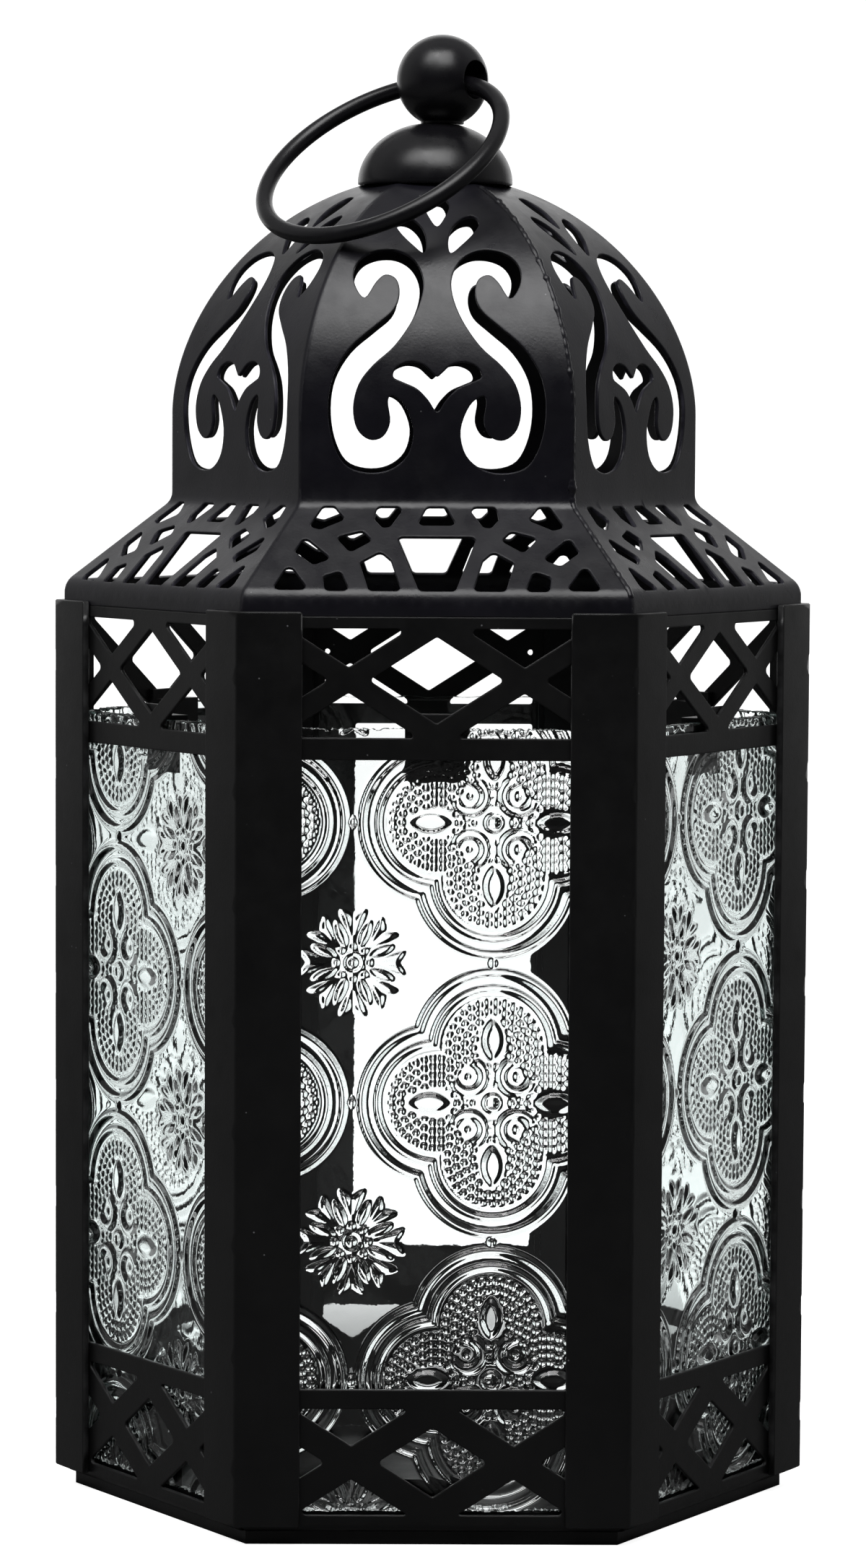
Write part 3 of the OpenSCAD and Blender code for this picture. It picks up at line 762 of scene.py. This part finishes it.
def pattern(x, z):
    """Relief of the pressed pattern, 0 to 1, with quatrefoils at multiples of the pitch."""
    half = PITCH / 2
    u, v = (x + half) % PITCH - half, (z + half) % PITCH - half
    height = quatrefoil(u, v)
    for cx, cz in ((half, 0), (-half, 0), (0, half), (0, -half)):
        height = np.maximum(height, ridge(np.hypot((u - cx) * 1.2, (v - cz)), 1.0, 0.6))
    p, q = x % PITCH - half, z % PITCH - half
    return np.maximum(height, star_flower(p, q))


def pane(name, node, half, low, high, outer, inner, turn, shift, body, step, depth, glass):
    """A pane with the pattern pressed depth deep into its outer side and rough cut edges."""
    nx, nz = int(round(2 * half / step)), int(round((high - low) / step))
    x, z = np.linspace(-half, half, nx + 1), np.linspace(low, high, nz + 1)
    gx, gz = np.meshgrid(x, z)
    relief = depth * pattern(gx - shift[0], gz - shift[1])
    soft = np.pad(relief, 1, mode="edge")
    relief = (soft[1:-1, 1:-1] * 6 + soft[:-2, 1:-1] + soft[2:, 1:-1] + soft[1:-1, :-2] + soft[1:-1, 2:]) / 10
    front = np.stack([gx, outer - depth + relief, gz], -1)
    chips = rng.normal(0, 1, (nz + 1, nx + 1))
    front[0, :, 2] += np.abs(np.convolve(chips[0], np.ones(3) / 3, "same")) * 0.3
    front[-1, :, 2] -= np.abs(np.convolve(chips[-1], np.ones(3) / 3, "same")) * 0.35
    front = front.reshape(-1, 3)
    index = np.arange((nz + 1) * (nx + 1)).reshape(nz + 1, nx + 1)
    a, b, c, d = index[:-1, :-1], index[:-1, 1:], index[1:, 1:], index[1:, :-1]
    faces = np.stack([b, a, d, c], -1).reshape(-1, 4).tolist()
    edge = np.concatenate([index[0, :-1], index[:-1, -1], index[-1, :0:-1], index[:0:-1, 0]])
    back = front[edge].copy()
    back[:, 1] = inner
    back[:, 2] = np.clip(back[:, 2] + rng.normal(0, 0.12, len(edge)), low, high)
    base = len(front)
    k = len(edge)
    walls = [(int(edge[i]), int(edge[(i + 1) % k]), base + (i + 1) % k, base + i) for i in range(k)]
    faces += walls + [tuple(range(base, base + k))]
    verts = np.vstack([front, back])
    t = math.radians(turn - 90)
    verts = verts @ np.array([[math.cos(t), -math.sin(t), 0], [math.sin(t), math.cos(t), 0], [0, 0, 1]]).T
    ob = make_object(name, verts, faces, glass)
    ob.data.materials.append(GLASS_EDGE)
    flags = np.ones(len(faces), bool)
    flags[-(k + 1):] = False
    ob.data.polygons.foreach_set("use_smooth", flags)
    slots = np.zeros(len(faces), np.int32)
    slots[-(k + 1):-1] = 1
    ob.data.polygons.foreach_set("material_index", slots)
    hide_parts(node)
    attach(ob, body)


def panes():
    half = PANE_HIGH[0]
    for i, shift in enumerate(PANE_SHIFTS):
        kind = (FRONT_GRID, RELIEF, GLASS) if i == FRONT_PANE else (SIDE_GRID, SIDE_RELIEF, SIDE_GLASS)
        pane(f"pressed_pane_{i + 1}", f"glass_pane_{i + 1}", half, PANE_LOW[2], PANE_HIGH[2],
             GLASS_OUT, GLASS_IN, FACES[i], shift, "lantern", *kind)
    pane("pressed_door_pane", "door_glass", DOOR_PANE_HIGH[0], DOOR_PANE_LOW[2], DOOR_PANE_HIGH[2],
         DOOR_PANE_HIGH[1], DOOR_PANE_LOW[1], 90, DOOR_SHIFT, "door", PLAIN_GRID, 0.0, GLASS)


# ---------- finial and ring ----------

def lathe(profile, turns):
    """Vertices and faces of a turned shape from [radius, height] points that start and end on the axis."""
    p = np.asarray(profile, float)
    verts, faces = [], []
    for r, z in p:
        angle = 2 * math.pi * np.arange(turns) / turns
        verts.append(np.stack([r * np.cos(angle), r * np.sin(angle), np.full(turns, z)], 1))
    for i in range(len(p) - 1):
        for k in range(turns):
            a, b = i * turns + k, i * turns + (k + 1) % turns
            faces.append((a, b, b + turns, a + turns))
    return np.concatenate(verts), faces


def cap():
    """Flattened round cap with a rolled lip, and the weld blobs round its edge."""
    low, high = CAP_LOW[2], CAP_HIGH[2]
    radius, rise = CAP_HIGH[0], high - low + 0.4
    turn = np.radians(np.linspace(0, 84, 22))
    outer = np.stack([radius * np.cos(turn), low + 0.35 + (rise - 0.35) * np.sin(turn)], 1)
    outer[:, 1] = np.minimum(outer[:, 1], high)
    lip = np.array([[radius - 1.2, low + 0.3], [radius - 0.9, low + 0.05], [radius - 0.45, low],
                    [radius - 0.12, low + 0.12]])
    inner = np.stack([(radius - 1.2) * np.cos(turn[::-3]), low + 0.4 + (rise - 1.6) * np.sin(turn[::-3])], 1)
    profile = np.vstack([inner, lip, outer])
    profile = np.vstack([profile, profile[:1]])
    verts, faces = lathe(profile, 96)
    angle = np.arctan2(verts[:, 1], verts[:, 0])
    verts[:, :2] *= (1 - 0.004 * (1 + np.sin(3 * angle + 1)))[:, None]
    ob = make_object("crown_cap", verts, faces, FINIAL_PAINT)
    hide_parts("dome_cap")
    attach(ob, "lantern")
    pool = bpy.data.metaballs.new("cap_weld")
    pool.resolution = 0.0004
    pool.render_resolution = 0.0004
    pool.threshold = 0.4
    blobs = bpy.data.objects.new("cap_weld", pool)
    bpy.context.scene.collection.objects.link(blobs)
    for i in range(6):
        for _ in range(5):
            a = math.radians(60 * i) + rng.normal(0, 0.05)
            ball = pool.elements.new()
            x = (radius + rng.uniform(-0.5, 0.3)) * math.cos(a)
            y = (radius + rng.uniform(-0.5, 0.3)) * math.sin(a)
            ball.co = Vector((x, y, low + rng.uniform(-0.9, 0.3))) * MM
            ball.radius = rng.uniform(0.9, 1.5) * MM
    bpy.context.view_layer.update()
    mesh = bpy.data.meshes.new_from_object(blobs.evaluated_get(bpy.context.evaluated_depsgraph_get()))
    bpy.data.objects.remove(blobs)
    weld = bpy.data.objects.new("cap_weld_blobs", mesh)
    bpy.context.scene.collection.objects.link(weld)
    mesh.shade_smooth()
    mesh.materials.clear()
    mesh.materials.append(FINIAL_PAINT)
    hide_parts("cap_weld_beads")
    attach(weld, "lantern")


def ball():
    """Ball on a short neck, with a cross bore whose mouths are rounded."""
    low = BALL_LOW[2]
    turn = np.linspace(-math.acos(NECK_R / BALL_R), math.pi / 2, 64)
    sphere = np.stack([BALL_R * np.cos(turn), BALL_Z + BALL_R * np.sin(turn)], 1)
    profile = np.vstack([[[0.0, low], [3.85, low], [3.95, low + 0.1]], sphere])
    profile[-1, 0] = 0.0
    verts, faces = lathe(profile, 128)
    verts[:, 0] += FINIAL_X
    ob = make_object("ball", verts, faces, FINIAL_PAINT)
    drill = bpy.data.meshes.new("drill")
    flare = [[0, -12], [BORE_R + 2.4, -12], [BORE_R + 0.5, -8.1], [BORE_R + 0.15, -7.6], [BORE_R, -7.0],
             [BORE_R, 7.0], [BORE_R + 0.15, 7.6], [BORE_R + 0.5, 8.1], [BORE_R + 2.4, 12], [0, 12]]
    v, f = lathe(flare, 64)
    drill.from_pydata((v * MM).tolist(), [], f)
    cutter = bpy.data.objects.new("drill", drill)
    bpy.context.scene.collection.objects.link(cutter)
    lay = Matrix.Rotation(BORE_TURN, 4, "Z") @ Matrix.Rotation(math.pi / 2, 4, "Y")
    cutter.matrix_world = Matrix.Translation((FINIAL_X * MM, 0, BALL_Z * MM)) @ lay
    for o in (ob, cutter):
        weld_doubles(o.data)
    cut = ob.modifiers.new("bore", "BOOLEAN")
    cut.object = cutter
    cut.operation = "DIFFERENCE"
    cut.solver = "EXACT"
    bpy.context.view_layer.update()
    done = bpy.data.meshes.new_from_object(ob.evaluated_get(bpy.context.evaluated_depsgraph_get()))
    ob.modifiers.clear()
    ob.data = done
    bpy.data.objects.remove(cutter)
    done.shade_smooth()
    done.set_sharp_from_angle(angle=math.radians(40))
    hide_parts("finial_ball")
    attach(ob, "lantern")


def weld_doubles(mesh):
    """Join points of the mesh that lie on each other and turn its faces outward."""
    bm = bmesh.new()
    bm.from_mesh(mesh)
    bmesh.ops.remove_doubles(bm, verts=bm.verts, dist=1e-6)
    bmesh.ops.recalc_face_normals(bm, faces=bm.faces)
    bm.to_mesh(mesh)
    bm.free()


def carry_ring():
    """Round wire ring with a slight weld swelling, through the ball's bore."""
    around, tube = 220, 24
    t = 2 * math.pi * np.arange(around) / around
    weld = np.exp(-(((t - 0.6) % (2 * math.pi) - 0.02) / 0.05) ** 2)
    radius = WIRE_R * (1 - 0.012 + 0.012 * weld) * (1 + 0.004 * np.sin(7 * t))
    phi = 2 * math.pi * np.arange(tube) / tube
    reach = RING_R + radius[:, None] * np.cos(phi)[None]
    verts = np.stack([reach * np.cos(t)[:, None], reach * np.sin(t)[:, None] + RING_LIFT - RING_R,
                      radius[:, None] * np.sin(phi)[None] - RING_DROP], -1).reshape(-1, 3)
    faces = []
    for i in range(around):
        for k in range(tube):
            j, m = (i + 1) % around, (k + 1) % tube
            faces.append((i * tube + k, j * tube + k, j * tube + m, i * tube + m))
    c, s = math.cos(RING_TILT), math.sin(RING_TILT)
    tilt = np.array([[1, 0, 0], [0, c, -s], [0, s, c]])
    c, s = math.cos(BORE_TURN), math.sin(BORE_TURN)
    spin = np.array([[c, -s, 0], [s, c, 0], [0, 0, 1]])
    verts = verts @ tilt.T @ spin.T + [FINIAL_X, 0, BALL_Z]
    ob = make_object("wire_ring", verts, faces, FINIAL_PAINT)
    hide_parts("carry_ring")
    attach(ob, "ring")


# ---------- the CAD nodes that stay ----------

def dress_nodes():
    """Zinc for the small bought fittings and paint for the other nodes that no piece replaces."""
    for name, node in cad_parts.items():
        if name in ("clamp_nut", "finial_stud", "hinge_pins", "button_stud"):
            material = ZINC
        elif name in ("glass_clips", "clamp_washer", "base_pan", "door_header", "door_sill", "door_jambs",
                      "door_clips", "door_knob", "hinge_post_leaves", "hinge_door_leaves", "turn_button"):
            material = WALL_PAINT
        else:
            continue
        for slot in node.material_slots:
            slot.material = material


# ---------- studio ----------

FLOOR_R = 2.2
FLOOR_GLOW = 0.9
FLOOR_DIM, FLOOR_PALE = (0.12, 0.12, 0.12), (0.9, 0.9, 0.9)
# The floor is pale through glass from the second distance outward, in metres
PALE_FROM = (0.1, 0.35)
# Brightness of the surroundings against the Y part of a direction; the first two are the ends
BACKDROP = [(-1.0, 0.015), (1.0, 1.2), (-0.6, 0.03), (-0.2, 0.22), (0.3, 0.36), (0.66, 0.16), (0.86, 1.2)]
BACKDROP_SEEN = 1.05
# Azimuth, elevation, width, height and power
SOFTBOXES = {"softbox_right": (275, 59, 0.75, 0.75, 11), "softbox_left": (226, 57, 0.5, 0.6, 5)}
SOFTBOX_DISTANCE = 1.3
SOFTBOX_AIM = Vector((0, 0, 0.16))
CAMERA_AT = (-0.013, -1.0435, 0.2001)
CAMERA_TURN, CAMERA_DOWN, CAMERA_ROLL = (math.radians(a) for a in (-0.733, 5.317, 0.334))
CAMERA_LENS, CAMERA_SHIFT = 129.38, 0.0977


def floor_material():
    """Pale floor for the camera and through clear glass, dim in reflections on the paint."""
    mat, nodes, links, shader = new_material("floor")
    paths = nodes.new("ShaderNodeLightPath").outputs
    far = nodes.new("ShaderNodeVectorMath")
    far.operation = "LENGTH"
    links.new(nodes.new("ShaderNodeNewGeometry").outputs["Position"], far.inputs[0])
    bounces = combine(nodes, links, "ADD", paths["Diffuse Depth"], paths["Glossy Depth"])
    unbounced = ramp(nodes, links, bounces, 0, 1, 1, 0)
    straight = combine(nodes, links, "MULTIPLY", unbounced, paths["Is Transmission Ray"])
    distant = ramp(nodes, links, far.outputs["Value"], *PALE_FROM)
    through = combine(nodes, links, "MULTIPLY", distant, straight)
    seen = combine(nodes, links, "MAXIMUM", through, paths["Is Camera Ray"])
    links.new(mix_colour(nodes, links, seen, FLOOR_DIM, FLOOR_PALE), shader.inputs["Base Color"])
    shader.inputs["Roughness"].default_value = 0.9
    shader.inputs["Specular IOR Level"].default_value = 0
    shader.inputs["Emission Color"].default_value = (1, 1, 1, 1)
    links.new(ramp(nodes, links, seen, 0, 1, 0, FLOOR_GLOW), shader.inputs["Emission Strength"])
    return mat


def studio():
    mesh = bpy.data.meshes.new("floor")
    ring = [(FLOOR_R * math.cos(a), FLOOR_R * math.sin(a), 0) for a in np.radians(np.arange(0, 360, 6))]
    mesh.from_pydata(ring, [], [tuple(range(len(ring)))])
    floor = bpy.data.objects.new("floor", mesh)
    bpy.context.scene.collection.objects.link(floor)
    mesh.materials.append(floor_material())

    world = bpy.data.worlds.new("studio")
    bpy.context.scene.world = world
    world.use_nodes = True
    nodes, links = world.node_tree.nodes, world.node_tree.links
    nodes.clear()
    out, back = nodes.new("ShaderNodeOutputWorld"), nodes.new("ShaderNodeBackground")
    links.new(back.outputs["Background"], out.inputs["Surface"])
    split = nodes.new("ShaderNodeSeparateXYZ")
    links.new(nodes.new("ShaderNodeTexCoord").outputs["Generated"], split.inputs["Vector"])
    shade = nodes.new("ShaderNodeValToRGB")
    links.new(ramp(nodes, links, split.outputs["Y"], -1, 1), shade.inputs["Fac"])
    stops = shade.color_ramp.elements
    for i, (at, level) in enumerate(BACKDROP):
        stop = stops[i] if i < 2 else stops.new((at + 1) / 2)
        stop.position = (at + 1) / 2
        stop.color = (level, level, level, 1)
    seen = ramp(nodes, links, nodes.new("ShaderNodeLightPath").outputs["Is Camera Ray"], 0, 1, 0, BACKDROP_SEEN)
    links.new(combine(nodes, links, "MAXIMUM", shade.outputs["Color"], seen), back.inputs["Strength"])
    back.inputs["Color"].default_value = (1, 1, 1, 1)


def lights():
    for name, (azimuth, elevation, width, height, power) in SOFTBOXES.items():
        light = bpy.data.lights.new(name, "AREA")
        light.shape = "RECTANGLE"
        light.size = width
        light.size_y = height
        light.energy = power
        ob = bpy.data.objects.new(name, light)
        bpy.context.scene.collection.objects.link(ob)
        a, e = math.radians(azimuth), math.radians(elevation)
        toward = Vector((math.cos(a) * math.cos(e), math.sin(a) * math.cos(e), math.sin(e)))
        ob.location = SOFTBOX_AIM + SOFTBOX_DISTANCE * toward
        ob.rotation_euler = (SOFTBOX_AIM - ob.location).to_track_quat("-Z", "Y").to_euler()


def camera():
    data = bpy.data.cameras.new("camera")
    data.lens = CAMERA_LENS
    data.sensor_width = 36
    data.shift_y = CAMERA_SHIFT
    ob = bpy.data.objects.new("camera", data)
    bpy.context.scene.collection.objects.link(ob)
    look = Matrix.Rotation(CAMERA_TURN, 4, "Z") @ Matrix.Rotation(math.pi / 2 - CAMERA_DOWN, 4, "X")
    ob.matrix_world = Matrix.Translation(CAMERA_AT) @ look @ Matrix.Rotation(CAMERA_ROLL, 4, "Z")
    bpy.context.scene.camera = ob
    bpy.context.scene.view_settings.view_transform = "Standard"


wall_panels()
door_sheet()
corner_posts()
roof()
panes()
cap()
ball()
carry_ring()
dress_nodes()
studio()
lights()
camera()
